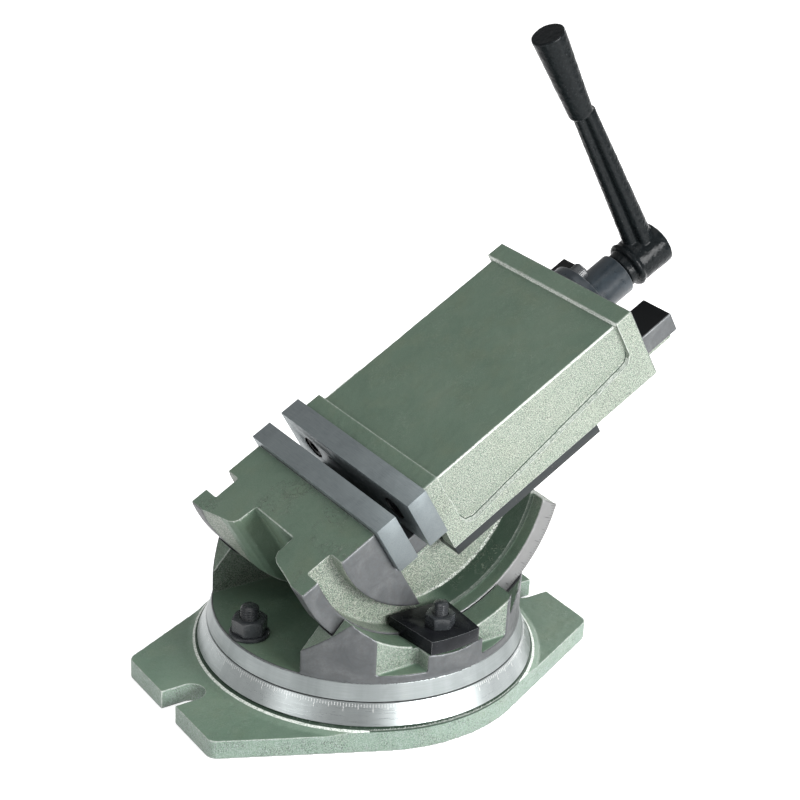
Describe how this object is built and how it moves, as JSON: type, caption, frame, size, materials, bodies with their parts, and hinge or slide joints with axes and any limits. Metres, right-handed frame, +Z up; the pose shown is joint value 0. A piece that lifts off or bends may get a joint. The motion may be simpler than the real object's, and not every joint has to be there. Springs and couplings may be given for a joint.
{
  "type": "machine vise",
  "caption": "Two-way angle vise: the jaws tilt in a cradle on a graduated swivel base, and a crank drives the moving jaw by a lead screw.",
  "frame": {"origin": "on the swivel axis, in the plane of the base's underside, midway between the two table slots", "axes": "+X along the base towards the crank side, +Y across the jaws, +Z up the swivel axis"},
  "size_m": [0.3139, 0.186, 0.347],
  "materials": {
    "cast_green": "rough cast, satin enamel",
    "ground_steel": "surface ground",
    "turned_steel": "turned",
    "black_steel": "black oxide",
    "black_cast": "gloss black enamel on a rough casting",
    "bronze": "machined"
  },
  "bodies": {
    "base": {"base_plate": "cast_green"},
    "swivel": {"swivel_table": "cast_green", "swivel_t_bolts": "black_steel", "swivel_washers": "black_steel", "swivel_nuts": "black_steel", "tilt_clamp_front": "black_steel", "tilt_clamp_rear": "black_steel", "tilt_studs": "black_steel", "tilt_nuts": "black_steel"},
    "tilt": {"vise_body": "cast_green", "fixed_jaw_plate": "ground_steel", "fixed_jaw_screws": "black_steel", "screw_nut": "bronze", "nut_screws": "black_steel"},
    "jaw": {"moving_jaw": "cast_green", "moving_jaw_plate": "ground_steel", "moving_jaw_screws": "black_steel", "keeper_front": "ground_steel", "keeper_rear": "ground_steel", "keeper_screws": "black_steel", "bearing_flange": "black_steel", "flange_screws": "black_steel"},
    "screw": {"lead_screw": "turned_steel", "crank_handle": "black_cast", "crank_pin": "turned_steel"}
  },
  "joints": [
    {"name": "swivel_turn", "type": "hinge", "parent": "base", "child": "swivel", "pos_m": [0, 0, 0.0258], "axis": [0, 0, 1], "continuous": true},
    {"name": "tilt_turn", "type": "hinge", "parent": "swivel", "child": "tilt", "pos_m": [0, 0, 0.1222], "axis": [0, -1, 0], "range_deg": [-30, 60]},
    {"name": "jaw_slide", "type": "slide", "parent": "tilt", "child": "jaw", "axis": [0.866, 0, 0.5], "range_m": [-0.00815, 0.09185]},
    {"name": "screw_spin", "type": "hinge", "parent": "jaw", "child": "screw", "pos_m": [0.07312, 0, 0.15056], "axis": [0.866, 0, 0.5], "range_deg": [-583.2, 6609.6]}
  ],
  "couplings": [
    {"joint": "jaw_slide", "follows": "screw_spin", "m_per_rad": 0.00079577}
  ]
}
